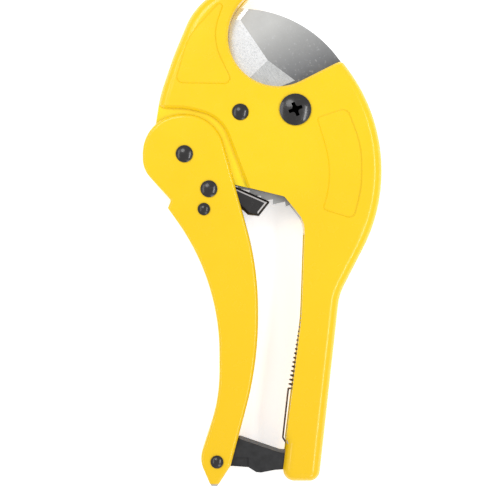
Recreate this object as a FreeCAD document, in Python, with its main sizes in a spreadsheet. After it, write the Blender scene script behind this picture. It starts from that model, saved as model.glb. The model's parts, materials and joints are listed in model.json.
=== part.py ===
import FreeCAD, Part
import Sketcher
import math
import os

# Ratchet pipe cutter, lying flat on its back: X to the right, Y towards the jaw, Z up
# through its thickness.  Z = 0 is the flat back of the castings.

Vector = FreeCAD.Vector
UP = Vector(0, 0, 1)

doc = FreeCAD.newDocument("pipe_cutter")
sheet = doc.addObject("Spreadsheet::Sheet", "dims")

DIMENSIONS = [
    # pivots and pins, seen from the front
    ("blade_pivot_x", 13.8), ("blade_pivot_y", 52.5),
    ("handle_pivot_x", -32.8), ("handle_pivot_y", 33.9),
    ("pawl_pin_x", -22.5), ("pawl_pin_y", 19.2),
    ("spring_pin_x", -24.6), ("spring_pin_y", 10.7),
    ("stop_pin_x", -9.3), ("stop_pin_y", 51.5),
    ("latch_pin_x", -19.1), ("latch_pin_y", -95.5),
    ("anchor_x", 11.8), ("anchor_y", -87.0),
    # body casting
    ("thickness", 18.0), ("outer_round", 4.4),
    ("recess_floor", 15.5), ("recess_depth", 2.5),
    ("slot_width", 4.0), ("cavity_width", 10.0), ("channel_width", 12.0), ("pawl_slot_width", 5.6),
    ("jaw_x", 6.6), ("jaw_y", 83.6), ("jaw_radius", 21.2), ("jaw_slot_radius", 26.0),
    ("tail_clearance_radius", 42.0), ("panel_depth", 0.6), ("panel_slope", 0.55),
    ("step_bevel", 1.0), ("jaw_bevel", 0.9), ("anchor_wall", 1.5),
    # moving handle
    ("ear_thickness", 2.0), ("handle_cavity", 14.0), ("handle_round", 1.6),
    # blade
    ("blade_thickness", 3.0), ("tooth_tip_radius", 40.7), ("tooth_root_radius", 38.6),
    ("tooth_pitch_deg", 7.85), ("first_tooth_deg", 44.7), ("tooth_count", 11),
    ("spring_hole_x", 18.7), ("spring_hole_diameter", 2.0),
    ("bevel_width", 15.0), ("edge_thickness", 0.24),
    # fasteners
    ("bush_diameter", 9.9), ("bush_hole", 10.0), ("screw_diameter", 6.0), ("screw_hole", 6.1),
    ("screw_head_diameter", 13.3), ("screw_head_rise", 2.26), ("screw_low", 0.3),
    ("cross_depth", 1.9), ("cross_arm", 3.0), ("cross_half_width", 0.75), ("cross_turn_deg", 22.0),
    ("cross_tip_round", 0.3), ("cross_root_round", 1.0),
    ("nut_across_flats", 10.0), ("nut_thickness", 2.8), ("nut_low", 0.35),
    ("nut_pocket_diameter", 12.4), ("lock_washer_radius", 5.8),
    ("lock_washer_thickness", 1.2), ("nut_pocket_depth", 4.4),
    ("pivot_pin_diameter", 6.0), ("pin_diameter", 5.0), ("small_pin_diameter", 4.0),
    ("pin_clearance", 0.1), ("rivet_rise", 1.5), ("rivet_low", 0.15), ("rivet_seat_gap", 0.03),
    ("rear_head_thickness", 1.0), ("side_gap", 0.05), ("anchor_low", 0.2),
    ("blade_shim_radius", 8.0), ("handle_shim_radius", 7.5),
    ("pivot_head", 7.2), ("stop_head", 6.8), ("pawl_head", 7.1), ("spring_head", 5.2),
    ("latch_head", 5.4), ("anchor_diameter", 3.2),
    ("rear_head_depth", 1.2), ("rear_head_margin", 0.2),
    # pawls and latch
    ("pawl_width", 12.2), ("pawl_leg", 2.0), ("pawl_lowered_deg", 3.0), ("pawl_bend", 1.7),
    ("holding_pawl_thickness", 3.0), ("holding_pawl_aim_deg", 38.7),
    ("latch_width", 11.4), ("latch_edge_round", 0.35), ("latch_step_depth", 1.0),
    # springs
    ("return_wire", 0.8), ("return_coil_radius", 2.2), ("return_pitch", 1.9), ("return_turns", 24),
    ("return_foot_x", 13.3), ("return_foot_y", -65.9), ("return_lean_deg", 10.2),
    ("return_hook_reach", 0.8),
    ("handle_wire", 1.1), ("handle_coil_radius", 3.1), ("handle_turns", 4.25),
    ("pawl_wire", 0.6), ("pawl_coil_radius", 3.4), ("pawl_turns", 1.25),
    ("holding_wire", 0.4), ("holding_coil_radius", 3.72), ("holding_turns", 1.5),
    ("coil_gap", 0.06), ("sleeve_wall", 0.9), ("sleeve_length", 1.3), ("sleeve_end_gap", 0.1),
]


def fill_sheet():
    for row, (alias, value) in enumerate(DIMENSIONS, start=1):
        sheet.set("A%d" % row, alias)
        sheet.set("B%d" % row, str(value))
        sheet.setAlias("B%d" % row, alias)
    doc.recompute()


def dim(alias):
    return float(sheet.get(alias))


def point(name):
    return Vector(dim(name + "_x"), dim(name + "_y"), 0)


fill_sheet()
MIDDLE = dim("thickness") / 2
BLADE_PIVOT = point("blade_pivot")
HANDLE_PIVOT = point("handle_pivot")
PAWL_PIN = point("pawl_pin")
SPRING_PIN = point("spring_pin")
STOP_PIN = point("stop_pin")
LATCH_PIN = point("latch_pin")
ANCHOR = point("anchor")
JAW = point("jaw")
sub_parts = []


# ---------------------------------------------------------------- drawing helpers

def polar(centre, radius, degrees):
    angle = math.radians(degrees)
    return centre + Vector(radius * math.cos(angle), radius * math.sin(angle), 0)


def rounded_outline(corners):
    """Closed outline of straight runs; a corner's third number is the radius of its tangent arc."""
    places = [Vector(corner[0], corner[1], 0) for corner in corners]
    rounds = []
    for index, here in enumerate(places):
        back = (places[index - 1] - here).normalize()
        ahead = (places[(index + 1) % len(places)] - here).normalize()
        radius = corners[index][2] if len(corners[index]) > 2 else 0
        half = back.getAngle(ahead) / 2
        reach = radius / math.tan(half)
        centre = here + (back + ahead).normalize() * (radius / math.sin(half))
        middle = centre + (here - centre).normalize() * radius if radius else here
        rounds.append((here + back * reach, middle, here + ahead * reach, radius))
    edges = []
    for index, (start, middle, end, radius) in enumerate(rounds):
        if radius:
            edges.append(Part.Arc(start, middle, end))
        following = rounds[(index + 1) % len(rounds)][0]
        run = (following - end).Length
        side = (places[(index + 1) % len(places)] - places[index]).normalize()
        if (following - end).dot(side) < -0.001:
            raise ValueError("corner radii overlap after corner %d" % index)
        if run > 0.0001:
            edges.append(Part.LineSegment(end, following))
    return edges


def new_body(label):
    body = doc.addObject("PartDesign::Body", label)
    body.Label = label
    sub_parts.append(body)
    return body


def new_sketch(body, name, role="XY_Plane", height=None):
    """A sketch on one of the body's own planes; height is an expression for its offset."""
    sketch = body.newObject("Sketcher::SketchObject", name)
    plane = [item for item in body.Origin.OriginFeatures if item.Role == role][0]
    sketch.AttachmentSupport = [(plane, "")]
    sketch.MapMode = "FlatFace"
    if height:
        sketch.setExpression("AttachmentOffset.Base.z", height)
    return sketch


def add_edges(sketch, edges):
    for edge in edges:
        sketch.addGeometry(edge, False)


def add_circle(sketch, centre, diameter):
    """A circle whose diameter is bound to an expression of the sheet."""
    index = sketch.addGeometry(Part.Circle(centre, UP, 1.0), False)
    number = sketch.addConstraint(Sketcher.Constraint("Diameter", index, 2.0))
    sketch.setExpression("Constraints[%d]" % number, diameter)


def pad(body, sketch, length, name):
    feature = body.newObject("PartDesign::Pad", name)
    feature.Profile = sketch
    feature.setExpression("Length", length)
    sketch.Visibility = False
    doc.recompute()
    return feature


def pocket(body, sketch, length, name):
    """Cuts down from the sketch by the given expression, and checks that it removed metal."""
    before = body.Shape.Volume
    feature = body.newObject("PartDesign::Pocket", name)
    feature.Profile = sketch
    feature.setExpression("Length", length)
    doc.recompute()
    if not body.Shape.Volume < before - 0.001:
        raise ValueError("%s cuts nothing from %s" % (name, body.Label))
    return feature


def cut_outline(body, name, corners, top, depth):
    sketch = new_sketch(body, name + "_sketch", height=top)
    add_edges(sketch, rounded_outline(corners))
    return pocket(body, sketch, depth, name)


def cut_circles(body, name, circles, top, depth):
    sketch = new_sketch(body, name + "_sketch", height=top)
    for centre, diameter in circles:
        add_circle(sketch, centre, diameter)
    return pocket(body, sketch, depth, name)


def round_edges(body, name, radius, wanted, kind="PartDesign::Fillet"):
    """Rounds or chamfers the tip's edges that the test picks."""
    base = body.Tip
    names = ["Edge%d" % (i + 1) for i, edge in enumerate(base.Shape.Edges) if wanted(edge)]
    feature = body.newObject(kind, name)
    feature.Base = (base, names)
    feature.setExpression("Radius" if kind.endswith("Fillet") else "Size", radius)
    doc.recompute()
    return feature


def flat_at(height):
    """A test for edges that lie level at a height."""
    def test(edge):
        box = edge.BoundBox
        return abs(box.ZMin - height) < 0.01 and abs(box.ZMax - height) < 0.01
    return test


def between(centre, near, far, heights):
    """A test for level edges whose middle is between two distances from a centre."""
    def test(edge):
        middle = edge.valueAt((edge.FirstParameter + edge.LastParameter) / 2)
        reach = math.hypot(middle.x - centre.x, middle.y - centre.y)
        return near < reach < far and any(flat_at(height)(edge) for height in heights)
    return test


# ---------------------------------------------------------------- body casting

# The lobe and the fixed handle's outer side, from the shoulder down to the handle's end.
SHOULDER = (33.6, 73.5)
OUTER_SIDE = [(50.5, 51.4, 72), (50.5, 9.6, 71), (32.6, -25.3, 22), (23.9, -104.2, 4.6)]


def body_outline():
    """Outside of the casting, with the jaw and the grip gap still filled."""
    hook = [(-46.9, 20.9, 12.9), (-46.9, 36.0, 10), (-43.4, 58.5, 60), (-37.6, 75.6, 120),
            (-24.9, 106.0, 29)]
    nose = [(-1.8, 106.0, 1.6), (4.0, 95.0)]
    end = [(7.9, -104.2, 5), (9.8, -88.0), (-29.3, 20.9, 3)]
    return hook + nose + [SHOULDER + (2.4,)] + OUTER_SIDE + end


def jaw_outline():
    """The jaw: an arc about the pipe's axis, open between the nose and the shoulder."""
    radius = dim("jaw_radius")
    nose_side = polar(JAW, radius, 138)
    low = polar(JAW, radius, 225)
    heel = polar(JAW, radius, -63.3)
    nose_out = nose_side + Vector(9.0, 10.0, 0)
    shoulder_out = heel + Vector(30.0, 15.1, 0)
    far = Vector(40.0, 120.0, 0)
    return [Part.Arc(nose_side, low, heel), Part.LineSegment(heel, shoulder_out),
            Part.LineSegment(shoulder_out, far), Part.LineSegment(far, nose_out),
            Part.LineSegment(nose_out, nose_side)]


GRIP_GAP = [(16.4, -35.0, 100), (17.8, 5.4, 11), (9.2, 16.0, 2), (-23.6, 24.0, 1.5),
            (-29.8, 20.6), (-60.0, 10.0), (-60.0, -125.0), (5.0, -125.0)]
EAR_STEP = [(-60.0, 54.0), (-32.0, 53.2, 26), (-17.5, 49.5, 16), (-5.5, 18.0), (-5.5, 5.0), (-60.0, 5.0)]
BLADE_ROOM = [(-2.0, 45.0), (-2.0, 72.0), (30.0, 90.0), (70.0, 84.0), (60.0, 62.0), (45.2, 55.6, 2),
              (43.8, 42.0, 6), (36.0, 34.0), (14.0, 38.0)]
CAVITY = [(28.0, 58.0, 3), (41.5, 57.0, 4), (46.6, 44.0, 20), (46.4, 12.0, 60), (28.0, -24.0, 40),
          (24.5, -30.0), (19.5, -30.0), (20.5, 4.0, 6), (24.5, 24.0, 10)]
CHANNEL = [(28.2, -26.9, 40), (19.2, -112.0), (-4.0, -112.0), (-4.0, 0.0), (24.0, 0.0)]
PAWL_ROOM = [(-41.0, 42.2, 7), (-24.0, 42.2, 6), (-10.0, 30.0), (-10.0, 12.0), (-24.0, 12.0),
             (-27.5, 26.0, 2), (-41.0, 25.6, 7)]
HOOK_PANEL = [(-15.6, 100.2, 1.0), (-30.8, 83.5, 28), (-36.6, 64.1, 2.4), (-12.6, 63.6, 2.2),
              (-21.8, 82.5, 22)]
LOBE_PANEL = [(23.2, 49.0, 1.2), (35.4, 53.0, 3), (41.5, 37.0, 40), (41.4, 20.0, 40),
              (38.2, 6.9, 2.4), (25.7, 10.8, 1.2), (30.3, 25.5, 42)]


def tail_sweep():
    """Slot sector about the blade pivot that the toothed tail sweeps through."""
    radius = dim("tail_clearance_radius")
    start = polar(BLADE_PIVOT, radius, 162)
    middle = polar(BLADE_PIVOT, radius, 237)
    end = polar(BLADE_PIVOT, radius, 311)
    return [Part.LineSegment(BLADE_PIVOT, start), Part.Arc(start, middle, end),
            Part.LineSegment(end, BLADE_PIVOT)]


def on_ear_step(edge):
    """The rim of the ears' recess, on the front and back faces of the casting."""
    middle = edge.valueAt((edge.FirstParameter + edge.LastParameter) / 2)
    level = flat_at(0)(edge) or flat_at(dim("thickness"))(edge)
    return level and middle.y > 22 and 17 < middle.distanceToPoint(HANDLE_PIVOT + UP * middle.z) < 32 \
        and middle.x < -6.5 and middle.y < 53.5 and edge.Length > 4


def along_outline(corners, height):
    """A test for level edges that lie on an outline."""
    wire = Part.Wire([edge.toShape() for edge in rounded_outline(corners)])

    def test(edge):
        middle = edge.valueAt((edge.FirstParameter + edge.LastParameter) / 2)
        below = Part.Vertex(Vector(middle.x, middle.y, 0))
        return flat_at(height)(edge) and wire.distToShape(below)[0] < 0.01
    return test


def slot(width):
    """Top of a slot of the named width centred in the thickness."""
    return "dims.thickness / 2 + dims.%s / 2" % width


def build_body_casting():
    body = new_body("body_casting")
    sketch = new_sketch(body, "casting_outline")
    add_edges(sketch, rounded_outline(body_outline()))
    pad(body, sketch, "dims.thickness", "casting")
    level = [flat_at(0), flat_at(dim("thickness"))]
    round_edges(body, "outer_rounds", "dims.outer_round", lambda edge: any(t(edge) for t in level))

    jaw = new_sketch(body, "jaw_sketch", height="dims.thickness")
    add_edges(jaw, jaw_outline())
    pocket(body, jaw, "dims.thickness", "jaw")
    cut_outline(body, "grip_gap", GRIP_GAP, "dims.thickness", "dims.thickness")
    cut_outline(body, "front_ear_recess", EAR_STEP, "dims.thickness", "dims.recess_depth")
    cut_outline(body, "rear_ear_recess", EAR_STEP, "dims.recess_depth", "dims.recess_depth")

    jaw_slot = new_sketch(body, "jaw_slot_sketch", height=slot("slot_width"))
    add_circle(jaw_slot, JAW, "2 * dims.jaw_slot_radius")
    pocket(body, jaw_slot, "dims.slot_width", "jaw_slot")
    cut_outline(body, "blade_room", BLADE_ROOM, slot("slot_width"), "dims.slot_width")
    sweep = new_sketch(body, "tail_sweep_sketch", height=slot("slot_width"))
    add_edges(sweep, tail_sweep())
    pocket(body, sweep, "dims.slot_width", "tail_slot")
    cut_outline(body, "lobe_cavity", CAVITY, slot("cavity_width"), "dims.cavity_width")
    cut_outline(body, "handle_channel", CHANNEL, slot("channel_width"), "dims.channel_width")
    cut_outline(body, "holding_pawl_room", PAWL_ROOM, slot("pawl_slot_width"), "dims.pawl_slot_width")

    through = [(BLADE_PIVOT, "dims.bush_hole"),
               (STOP_PIN, "dims.pin_diameter + dims.pin_clearance"),
               (HANDLE_PIVOT, "dims.pivot_pin_diameter + dims.pin_clearance")]
    cut_circles(body, "pin_holes", through, "dims.thickness", "dims.thickness")
    cut_circles(body, "nut_pocket", [(BLADE_PIVOT, "dims.nut_pocket_diameter")],
                "dims.nut_pocket_depth", "dims.nut_pocket_depth")
    stop_head = "dims.stop_head + 2 * dims.rear_head_margin"
    cut_circles(body, "stop_pin_seat", [(STOP_PIN, stop_head)], "dims.rear_head_depth",
                "dims.rear_head_depth")
    anchor_depth = "dims.thickness - dims.anchor_wall"
    cut_circles(body, "anchor_hole", [(ANCHOR, "dims.anchor_diameter")], anchor_depth, anchor_depth)
    cut_outline(body, "hook_panel", HOOK_PANEL, "dims.thickness", "dims.panel_depth")
    cut_outline(body, "lobe_panel", LOBE_PANEL, "dims.thickness", "dims.panel_depth")
    chamfer = "PartDesign::Chamfer"
    front = dim("thickness")
    round_edges(body, "hook_panel_slope", "dims.panel_slope", along_outline(HOOK_PANEL, front), chamfer)
    round_edges(body, "lobe_panel_slope", "dims.panel_slope", along_outline(LOBE_PANEL, front), chamfer)
    round_edges(body, "step_bevel", "dims.step_bevel", on_ear_step, chamfer)
    near_jaw = between(JAW, dim("jaw_radius") - 0.3, dim("jaw_radius") + 0.3, [0, front])
    round_edges(body, "jaw_bevel", "dims.jaw_bevel", near_jaw, chamfer)
    return body


# ---------------------------------------------------------------- moving handle

def handle_outline():
    """Lobe about the handle pivot, then the grip's right side, tip, left side and notch."""
    lobe = [(-50.5, 50.7, 16.6), (-20.0, 50.7, 16.6)]
    right = [(-1.8, -13.9, 130), (-1.8, -54.3, 150), (-13.4, -97.4, 4)]
    tip = [(-18.3, -105.0, 1.0), (-19.0, -106.0, 0.4), (-21.4, -106.0, 0.4), (-22.2, -105.0, 1.0)]
    left = [(-26.6, -94.8, 11), (-18.15, -68.9, 72), (-18.2, -19.3, 96)]
    notch = [(-39.9, 11.1, 0.6), (-38.6, 14.4, 1.0), (-50.5, 27.5, 12)]
    return lobe + right + tip + left + notch


# Inside of the back web, which runs from the notch down the grip's left side to its tip.
HANDLE_CAVITY = [(-60.0, 70.0), (20.0, 70.0), (20.0, -115.0), (-13.5, -115.0), (-18.9, -104.2, 1.5),
                 (-23.7, -94.8, 2), (-14.8, -69.4, 75), (-14.9, -19.0, 100), (-36.1, 11.8, 1),
                 (-37.6, 15.2), (-60.0, 22.2)]


def build_moving_handle():
    body = new_body("moving_handle")
    sketch = new_sketch(body, "handle_outline")
    add_edges(sketch, rounded_outline(handle_outline()))
    pad(body, sketch, "dims.thickness", "handle")
    level = [flat_at(0), flat_at(dim("thickness"))]
    round_edges(body, "handle_rounds", "dims.handle_round",
                lambda edge: any(t(edge) for t in level))
    cut_outline(body, "handle_inside", HANDLE_CAVITY, slot("handle_cavity"), "dims.handle_cavity")
    holes = [(HANDLE_PIVOT, "dims.pivot_pin_diameter + dims.pin_clearance"),
             (PAWL_PIN, "dims.pin_diameter + dims.pin_clearance"),
             (SPRING_PIN, "dims.small_pin_diameter + dims.pin_clearance"),
             (LATCH_PIN, "dims.small_pin_diameter + dims.pin_clearance")]
    cut_circles(body, "pin_holes", holes, "dims.thickness", "dims.thickness")
    margin = " + 2 * dims.rear_head_margin"
    seats = [(HANDLE_PIVOT, "dims.pivot_head" + margin), (PAWL_PIN, "dims.pawl_head" + margin),
             (SPRING_PIN, "dims.spring_head" + margin), (LATCH_PIN, "dims.latch_head" + margin)]
    cut_circles(body, "rear_seats", seats, "dims.rear_head_depth", "dims.rear_head_depth")
    return body


# ---------------------------------------------------------------- blade

def blade_outline():
    """Back edge, shoulder, tail with its ratchet teeth, stop flank, hub and cutting edge."""
    back = [(-12.6, 96.8, 0.8), (18.0, 93.9, 52), (38.0, 67.6, 7), (36.9, 47.0, 5), (28.0, 36.5, 8)]
    tip_radius = dim("tooth_tip_radius")
    root_radius = dim("tooth_root_radius")
    pitch = dim("tooth_pitch_deg")
    count = int(dim("tooth_count"))
    left_most = dim("first_tooth_deg")
    right_end = polar(BLADE_PIVOT, 29.5, 270 + 36)
    teeth = [(right_end.x, right_end.y, 1.5)]
    for index in reversed(range(count)):
        lean = left_most - index * pitch
        foot = polar(BLADE_PIVOT, root_radius, 270 - (lean - pitch + 0.6))
        crest = polar(BLADE_PIVOT, tip_radius, 270 - lean)
        root = polar(BLADE_PIVOT, root_radius, 270 - (lean + 0.6))
        teeth.append((foot.x, foot.y))
        teeth.append((crest.x, crest.y))
    teeth.append((root.x, root.y))
    rim_end = polar(BLADE_PIVOT, root_radius, 270 - 48)
    rim_inner = polar(BLADE_PIVOT, 29.0, 270 - 48)
    flank_foot = polar(BLADE_PIVOT, 28.4, 245.5)
    flank_top = polar(BLADE_PIVOT, 14.5, 245.5)
    tail = [(rim_end.x, rim_end.y, 0.8), (rim_inner.x, rim_inner.y, 1.5),
            (flank_foot.x, flank_foot.y, 1.2), (flank_top.x, flank_top.y, 2)]
    edge = [(1.0, 44.0, 6), (0.9, 61.4, 0.8), (-13.6, 63.4, 15.8), (-17.3, 83.2, 1.0)]
    return back + teeth + tail + edge


# The facets' lines on the flat of the blade, from its tip down to its heel, and the part of
# the blade that is ground.
FACET_LINE = [Vector(-5.8, 96.2, 0), Vector(-9.4, 91.5, 0), Vector(2.3, 74.3, 0), Vector(14.0, 65.6, 0)]
GROUND_ZONE = [(14.2, 65.8), (14.2, 110.0), (-40.0, 110.0), (-40.0, 50.0), (-4.0, 58.4)]


def prism(corners):
    """Upright prism through the whole thickness."""
    places = [Vector(x, y, 0) for x, y in corners]
    return Part.Face(Part.makePolygon(places + places[:1])).extrude(UP * dim("thickness"))


def bevel_wedge(start, end, side):
    """What one facet's grinding takes away; side is 1 on the front face and -1 on the back."""
    along = (end - start).normalize()
    outward = Vector(along.y, -along.x, 0)
    half = dim("blade_thickness") / 2
    reach = dim("bevel_width") * 1.5
    drop = (half - dim("edge_thickness") / 2) * 1.5
    low = start - along * 60 + UP * (MIDDLE + side * half)
    far = low + outward * reach
    corners = [low, far, far - UP * (side * drop)]
    return Part.Face(Part.makePolygon(corners + corners[:1])).extrude(along * 150)


def ground_away():
    """Every facet on both faces; equal slopes meet on the line that halves their angle."""
    zone = prism(GROUND_ZONE)
    wedges = []
    for start, end in zip(FACET_LINE, FACET_LINE[1:]):
        for side in (1, -1):
            wedges.append(bevel_wedge(start, end, side).common(zone))
    return wedges


def build_blade():
    """Blank cut from plate, then ground to its edge from both faces."""
    blank = new_body("blade_blank")
    sketch = new_sketch(blank, "blade_outline", height="dims.thickness / 2 - dims.blade_thickness / 2")
    add_edges(sketch, rounded_outline(blade_outline()))
    pad(blank, sketch, "dims.blade_thickness", "blank")
    hole = polar(BLADE_PIVOT, dim("spring_hole_x"), 0)
    holes = [(BLADE_PIVOT, "dims.bush_hole"), (hole, "dims.spring_hole_diameter")]
    cut_circles(blank, "blade_holes", holes, slot("blade_thickness"), "dims.blade_thickness")
    sub_parts.remove(blank)
    blade = doc.addObject("Part::Feature", "blade")
    blade.Label = "blade"
    blade.Shape = blank.Shape.cut(ground_away())
    sub_parts.append(blade)


# ---------------------------------------------------------------- turned fasteners

def turned(label, centre, profile):
    """A part turned about its own axis; profile is (radius, height) corners with optional arcs."""
    body = new_body(label)
    sketch = new_sketch(body, label + "_profile", role="XZ_Plane")
    add_edges(sketch, profile)
    feature = body.newObject("PartDesign::Revolution", label + "_turning")
    feature.Profile = sketch
    feature.ReferenceAxis = (sketch, ["V_Axis"])
    feature.Angle = 360
    doc.recompute()
    body.setExpression("Placement.Base.x", "dims.%s_x" % centre)
    body.setExpression("Placement.Base.y", "dims.%s_y" % centre)
    doc.recompute()
    return body


def domed_profile(shank, head, low, seat, rise, rear_head=None):
    """Half section of a domed rivet or screw, from its rear end up to the crown."""
    axis_low = Vector(0, low, 0)
    crown = Vector(0, seat + rise, 0)
    rim_height = rise * 0.3
    sag = rise - rim_height
    dome = (head * head + sag * sag) / (2 * sag)
    rim = Vector(head, seat + rim_height, 0)
    half = math.asin(head / dome) / 2
    bulge = Vector(dome * math.sin(half), seat + rise - dome * (1 - math.cos(half)), 0)
    corners = [axis_low]
    if rear_head:
        head_top = low + dim("rear_head_thickness")
        corners += [Vector(rear_head, low, 0), Vector(rear_head, head_top, 0), Vector(shank, head_top, 0)]
    else:
        corners += [Vector(shank, low, 0)]
    corners += [Vector(shank, seat, 0), Vector(head, seat, 0), rim]
    edges = [Part.LineSegment(a, b) for a, b in zip(corners, corners[1:])]
    edges.append(Part.Arc(rim, bulge, crown))
    edges.append(Part.LineSegment(crown, axis_low))
    return edges


def tube_profile(inner, outer, low, high):
    corners = [Vector(inner, low, 0), Vector(outer, low, 0),
               Vector(outer, high, 0), Vector(inner, high, 0)]
    return [Part.LineSegment(corners[i], corners[(i + 1) % 4]) for i in range(4)]


def build_rivets():
    low = dim("rivet_low")
    seat = dim("thickness") + dim("rivet_seat_gap")
    rise = dim("rivet_rise")
    rows = [("handle_pivot_rivet", "handle_pivot", "pivot_pin_diameter", "pivot_head"),
            ("blade_stop_pin", "stop_pin", "pin_diameter", "stop_head"),
            ("drive_pawl_rivet", "pawl_pin", "pin_diameter", "pawl_head"),
            ("spring_rivet", "spring_pin", "small_pin_diameter", "spring_head"),
            ("latch_rivet", "latch_pin", "small_pin_diameter", "latch_head")]
    for label, centre, shank, head in rows:
        radius = dim(head) / 2
        turned(label, centre, domed_profile(dim(shank) / 2, radius, low, seat, rise, radius))


def build_blade_screw():
    profile = domed_profile(dim("screw_diameter") / 2, dim("screw_head_diameter") / 2,
                            dim("screw_low"), dim("thickness"), dim("screw_head_rise"))
    body = turned("blade_pivot_screw", "blade_pivot", profile)
    arm = dim("cross_arm")
    half = dim("cross_half_width")
    tip = dim("cross_tip_round")
    root = dim("cross_root_round")
    outline = []
    for quarter in range(4):
        turn = FreeCAD.Rotation(UP, dim("cross_turn_deg") + 90 * quarter)
        for x, y, radius in [(arm, -half, tip), (arm, half, tip), (half, half, root)]:
            corner = turn.multVec(Vector(x, y, 0))
            outline.append((corner.x, corner.y, radius))
    cut_outline(body, "cross_recess", outline, "dims.thickness + dims.screw_head_rise",
                "dims.cross_depth")
    return body


def build_nut_and_washers():
    hole = dim("screw_hole") / 2
    nut_top = dim("nut_low") + dim("nut_thickness")
    nut = new_body("blade_pivot_nut")
    sketch = new_sketch(nut, "nut_outline", height="dims.nut_low")
    reach = dim("nut_across_flats") / math.sqrt(3)
    hexagon = [polar(Vector(), reach, 60 * side) for side in range(6)]
    add_edges(sketch, rounded_outline([(corner.x, corner.y) for corner in hexagon]))
    add_circle(sketch, Vector(), "dims.screw_hole")
    pad(nut, sketch, "dims.nut_thickness", "nut_blank")
    nut.setExpression("Placement.Base.x", "dims.blade_pivot_x")
    nut.setExpression("Placement.Base.y", "dims.blade_pivot_y")
    washer_top = nut_top + dim("lock_washer_thickness")
    washer = tube_profile(hole, dim("lock_washer_radius"), nut_top, washer_top)
    turned("blade_lock_washer", "blade_pivot", washer)
    bush = dim("bush_diameter") / 2
    turned("blade_bush", "blade_pivot", tube_profile(hole, bush, washer_top, dim("thickness")))


def paired_washers(label, centre, inner, outer, gaps):
    """Two equal thin washers, one at each gap's (low, high) heights."""
    rings = []
    for low, high in gaps:
        outside = Part.makeCylinder(outer, high - low, Vector(0, 0, low))
        rings.append(outside.cut(Part.makeCylinder(inner, high - low, Vector(0, 0, low))))
    pair = doc.addObject("Part::Feature", label)
    pair.Label = label
    pair.Shape = Part.makeCompound(rings)
    pair.Placement = FreeCAD.Placement(centre, FreeCAD.Rotation())
    sub_parts.append(pair)


def build_shims():
    gap = dim("side_gap")
    near = dim("blade_thickness") / 2 + gap
    wall = dim("slot_width") / 2
    gaps = [(MIDDLE - wall, MIDDLE - near), (MIDDLE + near, MIDDLE + wall)]
    paired_washers("blade_shims", BLADE_PIVOT, dim("bush_hole") / 2 + gap, dim("blade_shim_radius"), gaps)
    low_ear = dim("ear_thickness") + gap
    gaps = [(low_ear, dim("recess_depth")), (dim("recess_floor"), dim("thickness") - low_ear)]
    inner = dim("pivot_pin_diameter") / 2 + gap
    paired_washers("handle_shims", HANDLE_PIVOT, inner, dim("handle_shim_radius"), gaps)


def build_anchor_pin():
    pin = doc.addObject("Part::Cylinder", "spring_anchor_pin")
    pin.Label = "spring_anchor_pin"
    pin.setExpression("Radius", "dims.anchor_diameter / 2")
    pin.setExpression("Height", "dims.thickness - dims.anchor_wall - dims.anchor_low")
    pin.setExpression("Placement.Base.x", "dims.anchor_x")
    pin.setExpression("Placement.Base.y", "dims.anchor_y")
    pin.setExpression("Placement.Base.z", "dims.anchor_low")
    sub_parts.append(pin)


# ---------------------------------------------------------------- pawls and latch

# Outlines about their own pivots, so that a turn of the placement swings them.
DRIVE_PAWL = [(-4.3, -4.0, 3.8), (-4.3, 4.0, 3.8), (2.6, 3.9, 3), (11.5, 1.6, 4), (26.0, -3.9, 0.5),
              (21.6, -10.2, 0.8), (16.9, -9.7, 0.6), (14.6, -7.8, 1.2), (8.3, -5.2, 5)]
# The hollow between the legs also wraps the web, which stays lower and shorter than the legs, so that
# the teeth of the blade pass between them.
PAWL_HOLLOW = [(-10.0, 10.0), (30.0, 10.0), (30.0, -13.3), (19.4, -13.3), (25.8, -5.3), (23.6, -4.3),
               (18.6, -10.4), (18.6, -20.0), (-10.0, -20.0)]
HOLDING_PAWL = [(-5.4, -5.4, 5.3), (-5.4, 5.4, 5.3), (5.0, 5.4, 4.4), (7.4, 0.3, 3), (20.2, 0.3, 1),
                (24.8, 2.4), (25.1, 2.4), (25.5, -1.9, 0.5), (7.0, -2.0, 3), (4.2, -5.4, 3)]
LATCH = [(-3.5, -3.5, 3.4), (-3.5, 3.5, 3.4), (2.4, 5.0, 3), (9.4, 9.2, 1.2), (27.6, 3.0, 6),
         (33.6, 4.6, 0.6), (36.4, 5.7, 0.8), (36.9, -0.6, 2), (28.2, -3.7, 1.5), (24.2, -4.0, 1.5),
         (18.6, -5.1, 2), (16.4, -4.9, 1), (13.3, -2.9, 1.2), (5.8, -2.4, 1.5), (3.4, -3.8, 1.5)]
LATCH_STEP = [(3.0, 1.4, 0.5), (13.3, 1.4, 0.5), (13.3, -8.0), (3.0, -8.0)]


def build_drive_pawl():
    body = new_body("drive_pawl")
    sketch = new_sketch(body, "pawl_outline", height="dims.thickness / 2 - dims.pawl_width / 2")
    add_edges(sketch, rounded_outline(DRIVE_PAWL))
    pad(body, sketch, "dims.pawl_width", "pawl_blank")
    inner = "dims.thickness / 2 + dims.pawl_width / 2 - dims.pawl_leg"
    cut_outline(body, "between_legs", PAWL_HOLLOW, inner, "dims.pawl_width - 2 * dims.pawl_leg")
    top = "dims.thickness / 2 + dims.pawl_width / 2"
    cut_circles(body, "pawl_eye", [(Vector(), "dims.pin_diameter + dims.pin_clearance")], top,
                "dims.pawl_width")
    low = MIDDLE - dim("pawl_width") / 2
    high = MIDDLE + dim("pawl_width") / 2

    def on_bend(edge):
        middle = edge.valueAt((edge.FirstParameter + edge.LastParameter) / 2)
        level = flat_at(low)(edge) or flat_at(high)(edge)
        return level and middle.x > 21.5 and middle.y < -5.5 and edge.Length > 5
    round_edges(body, "bends", "dims.pawl_bend", on_bend)
    body.Placement = FreeCAD.Placement(PAWL_PIN, FreeCAD.Rotation(UP, -dim("pawl_lowered_deg")))
    return body


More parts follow.
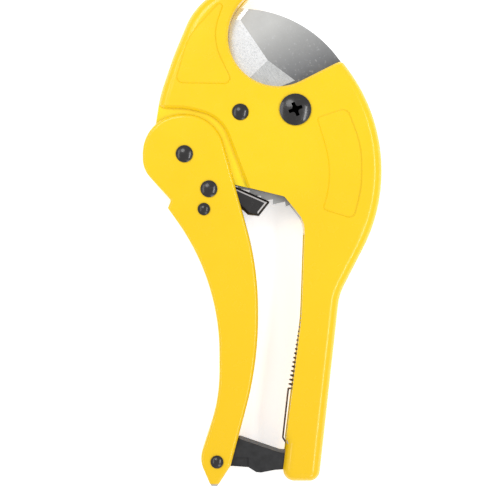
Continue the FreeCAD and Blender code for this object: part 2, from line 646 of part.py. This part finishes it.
def build_holding_pawl():
    body = new_body("holding_pawl")
    low = "dims.thickness / 2 - dims.holding_pawl_thickness / 2"
    sketch = new_sketch(body, "holding_outline", height=low)
    add_edges(sketch, rounded_outline(HOLDING_PAWL))
    add_circle(sketch, Vector(), "dims.pivot_pin_diameter + dims.pin_clearance")
    pad(body, sketch, "dims.holding_pawl_thickness", "holding_blank")
    body.Placement = FreeCAD.Placement(HANDLE_PIVOT, FreeCAD.Rotation(UP, -dim("holding_pawl_aim_deg")))
    return body


def build_latch():
    body = new_body("latch")
    sketch = new_sketch(body, "latch_outline", height="dims.thickness / 2 - dims.latch_width / 2")
    add_edges(sketch, rounded_outline(LATCH))
    add_circle(sketch, Vector(), "dims.small_pin_diameter + dims.pin_clearance")
    pad(body, sketch, "dims.latch_width", "latch_blank")
    level = [flat_at(MIDDLE - dim("latch_width") / 2), flat_at(MIDDLE + dim("latch_width") / 2)]
    round_edges(body, "latch_edges", "dims.latch_edge_round", lambda edge: any(t(edge) for t in level))
    top = "dims.thickness / 2 + dims.latch_width / 2"
    cut_outline(body, "latch_step", LATCH_STEP, top, "dims.latch_step_depth")
    body.Placement = FreeCAD.Placement(LATCH_PIN, FreeCAD.Rotation())
    return body


# ---------------------------------------------------------------- springs

def rod(points, radius):
    """Round wire along straight runs, with a ball at each bend."""
    shape = None
    for start, end in zip(points, points[1:]):
        run = Part.makeCylinder(radius, (end - start).Length, start, end - start)
        shape = run if shape is None else shape.fuse(run)
    for bend in points[1:-1]:
        shape = shape.fuse(Part.makeSphere(radius, bend))
    return shape


def coil(radius, pitch, turns, wire):
    """Helical wire about Z from height 0, starting on +X."""
    path = Part.Wire(Part.makeHelix(pitch, pitch * turns, radius).Edges)
    start = Vector(radius, 0, 0)
    section = Part.Wire(Part.makeCircle(wire, start, Vector(0, 1, pitch / (2 * math.pi * radius))))
    return path.makePipeShell([section], True, True)


def add_spring(label, shape, placement=None):
    spring = doc.addObject("Part::Feature", label)
    spring.Label = label
    spring.Shape = shape
    if placement:
        spring.Placement = placement
    sub_parts.append(spring)
    return spring


def build_blade_return_spring():
    """Long extension spring: coil in the handle channel, straight wires to the pin and blade."""
    wire = dim("return_wire") / 2
    radius = dim("return_coil_radius")
    pitch = dim("return_pitch")
    turns = dim("return_turns")
    hole = polar(BLADE_PIVOT, dim("spring_hole_x"), 0)
    low = point("return_foot") + UP * MIDDLE
    top = Vector(hole.x - 0.4, hole.y, MIDDLE + dim("blade_thickness") / 2 + 0.9)
    along = polar(Vector(), 1.0, 90 - dim("return_lean_deg"))
    turn = FreeCAD.Rotation(UP, along)
    body = coil(radius, pitch, turns, wire)
    body.Placement = FreeCAD.Placement(low, turn)
    start = low + turn.multVec(Vector(radius, 0, 0))
    end = low + turn.multVec(Vector(radius, 0, pitch * turns))
    side = Vector(-along.y, along.x, 0)
    foot = ANCHOR + Vector(0, 0, MIDDLE)
    ring = dim("anchor_diameter") / 2 + wire + 0.25
    hook = [start, low + side * radius * 0.9 - along * 1.2, foot + side * (ring + dim("return_hook_reach")),
            foot + side * ring * 0.7 - along * ring * 0.75, foot - along * ring * 1.02,
            foot - side * ring * 0.72 - along * ring * 0.72]
    lead = [end, low + along * (pitch * turns + 2.5) + UP * 1.6, top,
            Vector(hole.x, hole.y, MIDDLE - 1.2)]
    shape = body.fuse(rod(hook, wire)).fuse(rod(lead, wire))
    add_spring("blade_return_spring", shape)


def torsion_spring(label, pin, height, sizes, start_deg, legs):
    """Coil about a pin with two straight legs, each to a point given from the pin."""
    radius, wire, turns = sizes
    pitch = wire * 2 + dim("coil_gap")
    body = coil(radius, pitch, turns, wire)
    body.rotate(Vector(), UP, start_deg)
    start = polar(Vector(), radius, start_deg)
    end = polar(Vector(), radius, start_deg + 360 * turns) + UP * (pitch * turns)
    shape = body.fuse(rod([start, Vector(legs[0][0], legs[0][1], 0)], wire))
    shape = shape.fuse(rod([end, Vector(legs[1][0], legs[1][1], end.z)], wire))
    if shape.Volume < body.Volume:
        raise ValueError("%s lost its coil when its legs were joined on" % label)
    add_spring(label, shape, FreeCAD.Placement(pin + UP * height, FreeCAD.Rotation()))


def build_small_springs():
    handle = (dim("handle_coil_radius"), dim("handle_wire") / 2, dim("handle_turns"))
    torsion_spring("handle_return_spring", SPRING_PIN, 7.5, handle, 150, [(-9.4, 8.4), (3.2, -17.0)])
    pawl = (dim("pawl_coil_radius"), dim("pawl_wire") / 2, dim("pawl_turns"))
    torsion_spring("drive_pawl_spring", PAWL_PIN, 6.25, pawl, 200, [(-4.7, -6.6), (13.5, -5.0)])
    holding = (dim("holding_coil_radius"), dim("holding_wire") / 2, dim("holding_turns"))
    torsion_spring("holding_pawl_spring", HANDLE_PIVOT, 10.75, holding, 80, [(-6.4, 4.2), (9.5, -7.0)])


def build_sleeve():
    inner = dim("pin_diameter") / 2 + dim("side_gap")
    outer = inner + dim("sleeve_wall")
    high = MIDDLE + dim("pawl_width") / 2 - dim("pawl_leg") - dim("sleeve_end_gap")
    low = high - dim("sleeve_length")
    turned("drive_pawl_sleeve", "pawl_pin", tube_profile(inner, outer, low, high))


# ---------------------------------------------------------------- build, check, write

def check_model():
    for item in doc.Objects:
        if "Invalid" in item.State or "Error" in item.State:
            raise ValueError("%s did not rebuild: %s" % (item.Label, item.State))
    for item in sub_parts:
        if item.Shape.isNull() or not item.Shape.isValid():
            raise ValueError("%s has no valid shape" % item.Label)


def write_parts():
    os.makedirs("parts", exist_ok=True)
    for item in sub_parts:
        item.Shape.exportStep("parts/%s.step" % item.Label)
        box = item.Shape.BoundBox
        print("%-22s solids %d volume %9.1f  x %.1f..%.1f y %.1f..%.1f z %.2f..%.2f" % (
            item.Label, len(item.Shape.Solids), item.Shape.Volume, box.XMin, box.XMax,
            box.YMin, box.YMax, box.ZMin, box.ZMax))


build_body_casting()
build_moving_handle()
build_blade()
build_rivets()
build_blade_screw()
build_nut_and_washers()
build_shims()
build_anchor_pin()
build_drive_pawl()
build_holding_pawl()
build_latch()
build_blade_return_spring()
build_small_springs()
build_sleeve()
doc.recompute()
check_model()
write_parts()
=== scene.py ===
import json
import math

import bpy
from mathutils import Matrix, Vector


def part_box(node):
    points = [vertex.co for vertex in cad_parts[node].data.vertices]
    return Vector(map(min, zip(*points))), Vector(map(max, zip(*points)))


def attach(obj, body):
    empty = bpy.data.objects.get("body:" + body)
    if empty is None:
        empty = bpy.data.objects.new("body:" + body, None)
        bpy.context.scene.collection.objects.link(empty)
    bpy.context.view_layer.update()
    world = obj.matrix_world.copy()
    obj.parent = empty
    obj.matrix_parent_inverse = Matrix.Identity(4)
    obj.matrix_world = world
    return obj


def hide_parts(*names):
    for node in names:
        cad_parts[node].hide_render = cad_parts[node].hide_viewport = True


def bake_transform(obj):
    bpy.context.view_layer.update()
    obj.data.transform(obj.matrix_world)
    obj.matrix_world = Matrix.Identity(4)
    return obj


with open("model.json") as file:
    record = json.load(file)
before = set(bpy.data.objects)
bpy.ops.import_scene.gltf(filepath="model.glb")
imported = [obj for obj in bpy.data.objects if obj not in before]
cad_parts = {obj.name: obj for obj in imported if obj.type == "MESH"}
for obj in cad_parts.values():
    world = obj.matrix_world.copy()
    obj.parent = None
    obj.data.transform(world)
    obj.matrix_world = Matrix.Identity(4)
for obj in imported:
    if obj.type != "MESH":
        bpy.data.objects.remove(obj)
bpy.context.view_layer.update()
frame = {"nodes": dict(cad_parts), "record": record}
MM = 0.001
UP = Vector((0, 0, 1))


# ---------------------------------------------------------------- places read from the frame

def joint_place(name):
    """Where a joint's axis passes, in metres."""
    joints = frame["record"]["behaviour"]["joints"]
    return Vector(next(joint["pos_m"] for joint in joints if joint["name"] == name))


def box_centre(node):
    low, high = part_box(node)
    return (Vector(low) + Vector(high)) / 2


BLADE_PIVOT = joint_place("blade_swing")
HANDLE_PIVOT = joint_place("handle_swing")
PAWL_PIN = joint_place("drive_pawl_swing")
SPRING_PIN = box_centre("spring_rivet")
ANCHOR = box_centre("spring_anchor_pin")
MIDDLE = BLADE_PIVOT.z
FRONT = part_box("body_casting")[1][2]


# ---------------------------------------------------------------- node material helpers

class Nodes:
    """Small builder for one procedural material."""

    def __init__(self, name):
        self.material = bpy.data.materials.new(name)
        self.material.use_nodes = True
        self.tree = self.material.node_tree
        self.tree.nodes.clear()
        self.output = self.add("ShaderNodeOutputMaterial")
        self.shader = self.add("ShaderNodeBsdfPrincipled")
        self.link(self.shader.outputs[0], self.output.inputs["Surface"])
        self.coordinates = self.add("ShaderNodeTexCoord").outputs["Object"]

    def add(self, kind, **settings):
        node = self.tree.nodes.new(kind)
        for key, value in settings.items():
            setattr(node, key, value)
        return node

    def link(self, source, target):
        self.tree.links.new(source, target)

    def stretched(self, scale, turn=0.0):
        """Coordinates turned about Z, then scaled along each axis."""
        rotate = self.add("ShaderNodeMapping")
        rotate.inputs["Rotation"].default_value = (0, 0, turn)
        self.link(self.coordinates, rotate.inputs["Vector"])
        mapping = self.add("ShaderNodeMapping")
        mapping.inputs["Scale"].default_value = scale
        self.link(rotate.outputs["Vector"], mapping.inputs["Vector"])
        return mapping.outputs["Vector"]

    def noise(self, scale, detail=4.0, roughness=0.55, vector=None):
        node = self.add("ShaderNodeTexNoise")
        node.inputs["Scale"].default_value = scale
        node.inputs["Detail"].default_value = detail
        node.inputs["Roughness"].default_value = roughness
        self.link(vector if vector is not None else self.coordinates, node.inputs["Vector"])
        return node.outputs["Fac"]

    def remap(self, value, low, high, to_low=0.0, to_high=1.0):
        node = self.add("ShaderNodeMapRange")
        node.inputs["From Min"].default_value = low
        node.inputs["From Max"].default_value = high
        node.inputs["To Min"].default_value = to_low
        node.inputs["To Max"].default_value = to_high
        self.link(value, node.inputs["Value"])
        return node.outputs["Result"]

    def math(self, operation, first, second):
        node = self.add("ShaderNodeMath", operation=operation)
        for socket, value in zip(node.inputs, (first, second)):
            if isinstance(value, (int, float)):
                socket.default_value = value
            else:
                self.link(value, socket)
        return node.outputs[0]

    def product(self, first, *others):
        for other in others:
            first = self.math("MULTIPLY", first, other)
        return first

    def between(self, name, edges):
        """1 where a coordinate lies between four edges: rise start, rise end, fall start, fall end."""
        rise = self.remap(self.axis(name), edges[0] * MM, edges[1] * MM)
        fall = self.remap(self.axis(name), edges[3] * MM, edges[2] * MM)
        return self.product(rise, fall)

    def mix(self, factor, first, second):
        node = self.add("ShaderNodeMix", data_type="RGBA")
        pairs = ((node.inputs[0], factor), (node.inputs[6], first), (node.inputs[7], second))
        for socket, value in pairs:
            if isinstance(value, tuple):
                socket.default_value = value + (1.0,) if len(value) == 3 else value
            elif isinstance(value, (int, float)):
                socket.default_value = value
            else:
                self.link(value, socket)
        return node.outputs[2]

    def axis(self, name):
        node = self.add("ShaderNodeSeparateXYZ")
        self.link(self.coordinates, node.inputs["Vector"])
        return node.outputs[name]

    def facing(self, name):
        """One part of the surface's unsmoothed normal: Z is 1 on flat tops and 0 on upright walls."""
        geometry = self.add("ShaderNodeNewGeometry")
        node = self.add("ShaderNodeSeparateXYZ")
        self.link(geometry.outputs["True Normal"], node.inputs["Vector"])
        return node.outputs[name]

    def bump(self, height, distance, strength=1.0, below=None):
        node = self.add("ShaderNodeBump")
        node.inputs["Strength"].default_value = strength
        node.inputs["Distance"].default_value = distance
        self.link(height, node.inputs["Height"])
        if below is not None:
            self.link(below, node.inputs["Normal"])
        return node.outputs["Normal"]

    def set(self, **values):
        """Fixed numbers and colours go on the shader's own sockets; anything else is linked."""
        for name, value in values.items():
            socket = self.shader.inputs[name.replace("_", " ").title().replace("Ior", "IOR")]
            if isinstance(value, (int, float)):
                socket.default_value = value
            elif isinstance(value, tuple):
                socket.default_value = value + (1.0,) if len(value) == 3 else value
            else:
                self.link(value, socket)
        return self.material


# ---------------------------------------------------------------- materials

# Stretches along X or Y, in mm: rise start, rise end, fall start, fall end.
# The painted shade on the walls at the head of the gap lies inside these stretches.
GAP_HEAD_X = (-14, -12, 16, 17)
GAP_HEAD_Y = (-22, 6, 22, 24)
# Going down, the sunk floor beside the ears starts here; going along the tool, the coat ends here.
RECESS_Z = (16.2 * MM, 15.8 * MM)
BARE_END_Y = (-104.6 * MM, -105.2 * MM)


def yellow_coat():
    """Glossy powder coat over a die casting: orange peel, slow casting waves, faint dust, with painted
    shade and painted light.
    """
    n = Nodes("yellow_coat")
    patches = n.noise(28.0, 3.0)
    bright = n.mix(n.remap(patches, 0.35, 0.68), (0.935, 0.615, 0.005), (0.955, 0.655, 0.007))
    # Painted shade: the coat is painted darker towards the lower end of the tool.
    painted_shade_along_tool = n.remap(n.axis("Y"), -110 * MM, 50 * MM)
    colour = n.mix(painted_shade_along_tool, (0.88, 0.545, 0.005), bright)
    # Painted shade: upright walls are painted a darker orange, as if less light reaches them.
    painted_wall_shade = n.remap(n.facing("Z"), 0.75, 0.1)
    colour = n.mix(n.product(painted_wall_shade, 0.35), colour, (0.84, 0.48, 0.006))
    # Painted light: the sunk floor beside the ears is painted a brighter yellow, lifting the shade that
    # falls there.
    sunk = n.product(n.remap(n.axis("Z"), *RECESS_Z), n.remap(n.facing("Z"), 0.8, 0.95))
    colour = n.mix(sunk, colour, (0.99, 0.74, 0.012))
    # Painted shade: the upright walls at the head of the gap between the handles are painted near black,
    # as the shade there.
    upright = n.remap(n.facing("Z"), 0.5, 0.1)
    painted_gap_head_shade = n.product(n.between("Y", GAP_HEAD_Y), n.between("X", GAP_HEAD_X), upright, 0.95)
    colour = n.mix(painted_gap_head_shade, colour, (0.05, 0.028, 0.002))
    bare = n.remap(n.axis("Y"), *BARE_END_Y)
    colour = n.mix(bare, colour, (0.42, 0.40, 0.36))
    specks = n.remap(n.noise(2600.0, 2.0), 0.70, 0.78)
    colour = n.mix(n.product(specks, 0.25), colour, (0.55, 0.30, 0.01))
    rough = n.remap(n.noise(160.0, 4.0), 0.3, 0.7, 0.20, 0.30)
    waves = n.bump(n.noise(70.0, 2.0), 0.00012)
    peel = n.bump(n.noise(1100.0, 2.0, 0.4), 0.000025, below=waves)
    return n.set(base_color=colour, roughness=rough, normal=peel, coat_weight=0.18,
                 coat_roughness=0.09, coat_ior=1.5, specular_ior_level=0.38)


def blade_steel():
    """Satin blade: cloudy flats with fine specks, brighter ground bevels with cross grain.

    The flats carry painted shadow towards the jaw's lower edge, and the two bevels are painted in a lit
    and a shaded tone.
    """
    n = Nodes("blade_steel")
    on_bevel = n.remap(n.math("ABSOLUTE", n.facing("Z"), 0.0), 0.9985, 0.9965)
    clouds = n.noise(90.0, 5.0)
    grit = n.noise(1500.0, 3.0, 0.7)
    # Painted shadow: a dark band on the flats along the jaw's lower edge, where the casting shades the
    # blade.
    sweep = n.add("ShaderNodeSeparateXYZ")
    n.link(n.stretched((1.0, 1.0, 1.0), math.radians(-25)), sweep.inputs["Vector"])
    away = n.remap(sweep.outputs["Y"], 51 * MM, 80 * MM)
    below_jaw = n.remap(n.axis("Y"), 60 * MM, 50 * MM)
    light = n.math("MAXIMUM", away, below_jaw)
    shade = n.mix(light, (0.10, 0.105, 0.12), (0.60, 0.60, 0.585))
    flat = n.mix(n.remap(clouds, 0.25, 0.75, 0.0, 0.35), shade, (0.36, 0.36, 0.355))
    sparkle = n.remap(n.noise(900.0, 3.0, 0.7), 0.60, 0.72, 0.0, 0.55)
    flat = n.mix(sparkle, flat, (0.62, 0.63, 0.64))
    grain = n.noise(1.0, 3.0, 0.6, n.stretched((3200.0, 160.0, 400.0), math.radians(-34)))
    # Painted light: the upper bevel is painted near white as lit, and the lower bevel darker as shaded.
    upper = n.mix(n.remap(grain, 0.3, 0.7), (0.88, 0.89, 0.90), (1.0, 1.0, 1.0))
    lower = n.mix(n.remap(grain, 0.3, 0.7), (0.66, 0.67, 0.67), (0.86, 0.87, 0.87))
    on_upper = n.remap(n.facing("X"), -0.062, -0.070)
    bright = n.mix(on_upper, lower, upper)
    colour = n.mix(on_bevel, flat, bright)
    rough_flat = n.remap(grit, 0.3, 0.7, 0.34, 0.5)
    rough = n.math("SUBTRACT", rough_flat, n.product(on_bevel, 0.12))
    pits = n.bump(grit, 0.00001)
    lines = n.bump(grain, 0.000006, below=pits)
    return n.set(base_color=colour, metallic=1.0, roughness=rough, normal=lines)


def plated_steel(name, dark, light, rough_low, rough_high):
    n = Nodes(name)
    drift = n.noise(400.0, 4.0)
    colour = n.mix(n.remap(drift, 0.3, 0.7), dark, light)
    rough = n.remap(n.noise(1800.0, 3.0), 0.3, 0.7, rough_low, rough_high)
    scratches = n.bump(n.noise(1.0, 2.0, 0.5, n.stretched((3000.0, 300.0, 900.0), 0.6)), 0.000006)
    return n.set(base_color=colour, metallic=1.0, roughness=rough, normal=scratches)


RECESS_RADIUS = 3.3 * MM
RECESS_TOP = FRONT + 1.8 * MM


def in_cross_recess(n):
    """1 inside the pivot screw's cross recess, below its domed head, and 0 elsewhere."""
    offset = n.add("ShaderNodeVectorMath", operation="SUBTRACT")
    offset.inputs[1].default_value = (BLADE_PIVOT.x, BLADE_PIVOT.y, 0)
    n.link(n.coordinates, offset.inputs[0])
    flat = n.add("ShaderNodeVectorMath", operation="MULTIPLY")
    flat.inputs[1].default_value = (1, 1, 0)
    n.link(offset.outputs[0], flat.inputs[0])
    radius = n.add("ShaderNodeVectorMath", operation="LENGTH")
    n.link(flat.outputs[0], radius.inputs[0])
    near = n.math("LESS_THAN", radius.outputs["Value"], RECESS_RADIUS)
    low = n.math("LESS_THAN", n.axis("Z"), RECESS_TOP)
    return n.product(near, low)


def painted_pawl_edge_highlight(n):
    """1 along the drive pawl's bend and top edge, on the right-facing tilted faces that get a painted
    highlight.
    """
    on_pawl = n.product(n.remap(n.axis("X"), -17 * MM, -16 * MM), n.remap(n.axis("Y"), 24 * MM, 23 * MM))
    tilted = n.product(n.remap(n.facing("Z"), 0.88, 0.90), n.remap(n.facing("Z"), 0.998, 0.993))
    to_the_right = n.remap(n.facing("X"), 0.03, 0.07)
    return n.product(on_pawl, n.product(tilted, to_the_right))


def black_steel():
    """Glossy brown-black finish of the rivets, screw and drive pawl, with rubbed patches, a painted
    highlight and painted shade.
    """
    n = Nodes("black_steel")
    rubbed = n.remap(n.noise(700.0, 5.0, 0.65), 0.60, 0.74)
    colour = n.mix(rubbed, (0.017, 0.015, 0.015), (0.045, 0.043, 0.042))
    # Painted highlight: the pawl's bend and top edge are painted pale grey.
    colour = n.mix(painted_pawl_edge_highlight(n), colour, (0.50, 0.48, 0.47))
    # Painted shade: the screw's cross recess is painted near black, and its shine is taken away.
    recess = in_cross_recess(n)
    colour = n.mix(recess, colour, (0.001, 0.001, 0.001))
    rough = n.remap(n.noise(500.0, 4.0), 0.3, 0.7, 0.18, 0.32)
    skin = n.bump(n.noise(1600.0, 3.0), 0.000012)
    open_shine = n.math("SUBTRACT", 0.4, n.product(recess, 0.4))
    shine = n.product(open_shine, n.remap(n.facing("Z"), 0.55, 0.88, 0.25, 1.0))
    return n.set(base_color=colour, roughness=rough, normal=skin, coat_weight=shine,
                 coat_roughness=0.08, specular_ior_level=shine)


def black_plastic():
    """Moulded latch: satin grain in slightly paler patches, duller on its sides."""
    n = Nodes("black_plastic")
    grain = n.noise(2400.0, 3.0, 0.6)
    colour = n.mix(n.remap(n.noise(300.0, 4.0), 0.35, 0.7), (0.012, 0.012, 0.013), (0.026, 0.026, 0.028))
    rough = n.remap(grain, 0.3, 0.7, 0.34, 0.48)
    shine = n.remap(n.facing("Z"), 0.2, 0.9, 0.1, 0.45)
    return n.set(base_color=colour, roughness=rough, normal=n.bump(grain, 0.00002),
                 specular_ior_level=shine)


MATERIALS = {
    "yellow_coat": yellow_coat(),
    "blade_steel": blade_steel(),
    "bright_steel": plated_steel("bright_steel", (0.42, 0.42, 0.43), (0.60, 0.60, 0.61), 0.25, 0.4),
    "spring_steel": plated_steel("spring_steel", (0.08, 0.065, 0.05), (0.24, 0.21, 0.18), 0.28, 0.42),
    "black_steel": black_steel(),
    "black_plastic": black_plastic(),
}


def soften_edges(node, width):
    """Small rounds on a node's sharp edges, as tumbling or wear leaves them."""
    weld = node.modifiers.new("join_faces", "WELD")
    weld.merge_threshold = 0.000001
    bevel = node.modifiers.new("edge_rounds", "BEVEL")
    bevel.width = width
    bevel.segments = 2
    bevel.limit_method = "ANGLE"
    bevel.angle_limit = math.radians(35)
    bevel.use_clamp_overlap = True


def finish_cad_nodes():
    """Each carried-over node gets the material of its own slot."""
    slots = {part["node"]: part["material_slot"] for part in frame["record"]["subparts"]}
    for name, node in frame["nodes"].items():
        material = MATERIALS[slots[name]]
        if not node.material_slots:
            node.data.materials.append(material)
        for place in node.material_slots:
            place.material = material
    for name, width in (("drive_pawl", 0.25), ("holding_pawl", 0.2), ("latch", 0.15)):
        soften_edges(frame["nodes"][name], width * MM)


# ---------------------------------------------------------------- wire springs

def wire_piece(name, points, radius, replaced):
    """Round wire along points, as a mesh with smooth sides and closed ends."""
    curve = bpy.data.curves.new(name + "_path", "CURVE")
    curve.dimensions = "3D"
    curve.bevel_depth = radius
    curve.bevel_resolution = 4
    curve.use_fill_caps = True
    spline = curve.splines.new("POLY")
    spline.points.add(len(points) - 1)
    for place, point in zip(spline.points, points):
        place.co = (*point, 1.0)
    carrier = bpy.data.objects.new(name + "_path", curve)
    bpy.context.collection.objects.link(carrier)
    bpy.context.view_layer.update()
    evaluated = carrier.evaluated_get(bpy.context.evaluated_depsgraph_get())
    mesh = bpy.data.meshes.new_from_object(evaluated)
    bpy.data.objects.remove(carrier)
    piece = bpy.data.objects.new(name, mesh)
    bpy.context.collection.objects.link(piece)
    mesh.materials.clear()
    mesh.materials.append(MATERIALS["spring_steel"])
    for polygon in mesh.polygons:
        polygon.use_smooth = True
    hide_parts(replaced)
    return piece


def smooth_path(corners, reach, steps=8):
    """Points along straight runs whose corners are rounded over a reach on each side."""
    points = [corners[0]]
    for before, here, after in zip(corners, corners[1:], corners[2:]):
        cut = min(reach, (here - before).length * 0.45, (after - here).length * 0.45)
        start = here + (before - here).normalized() * cut
        end = here + (after - here).normalized() * cut
        for step in range(steps + 1):
            t = step / steps
            points.append(start * (1 - t) ** 2 + here * (2 * t * (1 - t)) + end * t ** 2)
    points.append(corners[-1])
    return points


def helix(centre, along, side, radius, pitch, turns, start_turn=0.0):
    """Points of a coil that runs along a direction; side is where turn zero lies."""
    across = along.cross(side).normalized()
    per_turn = 28
    points = []
    for step in range(int(per_turn * turns) + 1):
        turn = step / per_turn
        angle = 2 * math.pi * (turn + start_turn)
        around = side * math.cos(angle) + across * math.sin(angle)
        points.append(centre + along * (pitch * turn) + around * radius)
    return points


def blade_return_spring():
    """Extension spring: coil that leans out of the handle, hook on the pin, wire to the blade."""
    wire = 0.40 * MM
    radius = 2.2 * MM
    pitch = 1.9 * MM
    turns = 24
    lean = math.radians(10.2)
    hole = BLADE_PIVOT + Vector((18.7, 0, 0)) * MM
    low = ANCHOR + Vector((1.5, 21.1, 0)) * MM
    low.z = MIDDLE
    top = hole + Vector((-0.4, 0, 2.4)) * MM
    along = Vector((math.sin(lean), math.cos(lean), 0))
    side = Vector((-along.y, along.x, 0))
    coil = helix(low, along, side, radius, pitch, turns)
    foot = Vector((ANCHOR.x, ANCHOR.y, MIDDLE))
    ring = 2.3 * MM
    hook_reach = 0.8 * MM
    ring_steps = 12
    loop = [foot + side * (ring + hook_reach)]
    for step in range(ring_steps + 1):
        angle = math.radians(215 + 180 * step / ring_steps)
        loop.append(foot + Vector((math.cos(angle), math.sin(angle), 0)) * ring)
    hook = smooth_path([loop[0], low + side * radius * 0.95 - along * 2.2 * MM, coil[0]], 1.4 * MM)
    end = low + along * (pitch * turns)
    lead = smooth_path([coil[-1], end + along * 2.6 * MM + UP * 1.7 * MM, top,
                        hole - UP * 1.6 * MM], 1.0 * MM)
    points = loop[::-1] + hook[1:-1] + coil + lead[1:]
    piece = wire_piece("blade_return_spring_wire", points, wire, "blade_return_spring")
    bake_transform(piece)


def torsion_spring(name, pin, height, sizes, start_deg, legs, bodies, ends):
    """Coil about a pin with two straight legs, set between the bodies that it loads."""
    radius = sizes[0] * MM
    wire = sizes[1] * MM
    turns = sizes[2]
    pitch = wire * 2 + 0.06 * MM
    centre = Vector((pin.x, pin.y, height * MM))
    start = math.radians(start_deg)
    side = Vector((math.cos(start), math.sin(start), 0))
    coil = helix(centre, UP, side, radius, pitch, turns)
    first = centre + Vector((legs[0][0], legs[0][1], 0)) * MM
    last = centre + Vector((legs[1][0], legs[1][1], 0)) * MM + UP * (coil[-1].z - centre.z)
    piece = wire_piece(name + "_wire", [first] + coil + [last], wire, name)
    if ends:
        tuple(ends(first, last, centre))
        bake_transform(piece)
    else:
        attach(piece, bodies[0])


def small_springs():
    def near_coil(first, last, centre):
        return tuple(first.lerp(centre, 0.8))

    def far_leg(first, last, centre):
        return tuple(last)

    torsion_spring("handle_return_spring", SPRING_PIN, 7.5, (3.1, 0.55, 4.25), 150,
                   [(-9.4, 8.4), (3.2, -17.0)], ("root", "grip"), near_coil)
    torsion_spring("drive_pawl_spring", PAWL_PIN, 6.25, (3.4, 0.3, 1.25), 200,
                   [(-4.7, -6.6), (13.5, -5.0)], ("grip", "driver"), far_leg)
    torsion_spring("holding_pawl_spring", HANDLE_PIVOT, 10.75, (3.7, 0.2, 1.5), 80,
                   [(-6.4, 4.2), (9.5, -7.0)], ("root", "holder"), far_leg)


# ---------------------------------------------------------------- stage, light, camera

def make_floor():
    bpy.ops.mesh.primitive_plane_add(size=6, location=(0, 0, 0))
    floor = bpy.context.object
    floor.name = "floor"
    n = Nodes("floor_paper")
    tone = n.mix(n.noise(6.0, 2.0), (0.93, 0.945, 0.975), (0.95, 0.965, 0.995))
    paper = n.set(base_color=tone, roughness=0.9, emission_strength=0.5)
    n.shader.inputs["Emission Color"].default_value = (1.0, 1.0, 1.0, 1.0)
    floor.data.materials.append(paper)


def area_light(name, place, target, size, power):
    data = bpy.data.lights.new(name, "AREA")
    data.shape = "DISK"
    data.size = size
    data.energy = power
    lamp = bpy.data.objects.new(name, data)
    bpy.context.collection.objects.link(lamp)
    lamp.location = place
    lamp.rotation_mode = "QUATERNION"
    lamp.rotation_quaternion = (Vector(target) - Vector(place)).to_track_quat("-Z", "Y")


def strip_light(name, place, size, power):
    """Long box light that faces the tool and gives the rounded edges their bright line."""
    data = bpy.data.lights.new(name, "AREA")
    data.shape = "RECTANGLE"
    data.size, data.size_y = size
    data.energy = power
    lamp = bpy.data.objects.new(name, data)
    bpy.context.collection.objects.link(lamp)
    lamp.location = place
    lamp.rotation_mode = "QUATERNION"
    lamp.rotation_quaternion = (-Vector(place)).to_track_quat("-Z", "Y")


def make_light():
    world = bpy.data.worlds.new("soft_studio")
    world.use_nodes = True
    background = world.node_tree.nodes["Background"]
    background.inputs["Color"].default_value = (1.0, 1.0, 1.0, 1.0)
    background.inputs["Strength"].default_value = 0.62
    bpy.context.scene.world = world
    area_light("key", (-0.28, 0.50, 0.9), (0, 0, 0), 0.45, 2.2)
    strip_light("strip_right", (0.50, -0.06, 0.68), (0.7, 0.10), 2.0)
    strip_light("strip_left", (-0.55, 0.06, 0.55), (0.8, 0.14), 0.9)
    area_light("front_fill", (0.35, -0.75, 0.50), (0, 0.03, 0), 0.4, 1.2)


def make_camera():
    """Above the tool and looking straight down, as near as a product photographer stands."""
    data = bpy.data.cameras.new("camera")
    distance = 550 * MM
    view_width = 210 * MM
    off_centre = Vector((-5.25, -6.5, 0)) * MM
    data.sensor_width = 36.0
    data.lens = data.sensor_width * distance / view_width
    camera = bpy.data.objects.new("camera", data)
    bpy.context.collection.objects.link(camera)
    camera.location = off_centre + UP * (FRONT + distance)
    camera.rotation_euler = (0, 0, 0)
    bpy.context.scene.camera = camera


make_camera()
make_light()
make_floor()
finish_cad_nodes()
blade_return_spring()
small_springs()
bpy.context.scene.view_settings.view_transform = "Standard"
